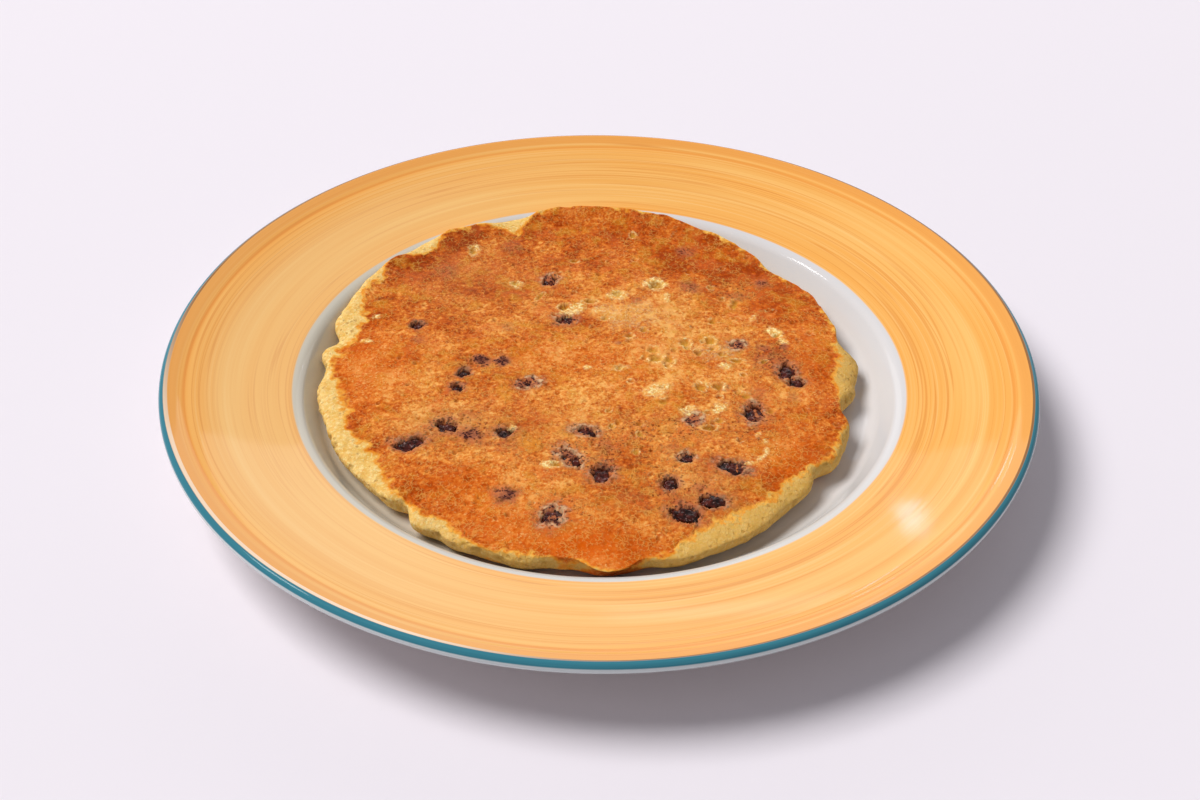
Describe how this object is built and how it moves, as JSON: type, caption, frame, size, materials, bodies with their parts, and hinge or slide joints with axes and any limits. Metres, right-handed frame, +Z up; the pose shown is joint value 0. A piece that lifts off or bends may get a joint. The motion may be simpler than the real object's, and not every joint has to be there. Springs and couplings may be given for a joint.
{
  "type": "chocolate chip pancake",
  "caption": "Round browned pancake with chocolate chips baked into its top, lying in the well of a wide-rimmed glazed dinner plate.",
  "frame": {"origin": "on the table, under the middle of the plate", "axes": "+Z up from the table; the reference picture was taken from the -Y side, with +X to its right"},
  "size_m": [0.27, 0.27, 0.024],
  "materials": {
    "plate": "glossy glaze over an orange band, with a teal edge and a white well",
    "pancake": "matt browned crust with darker chips"
  },
  "bodies": {
    "root": {"plate": "plate", "pancake": "pancake"}
  },
  "joints": []
}
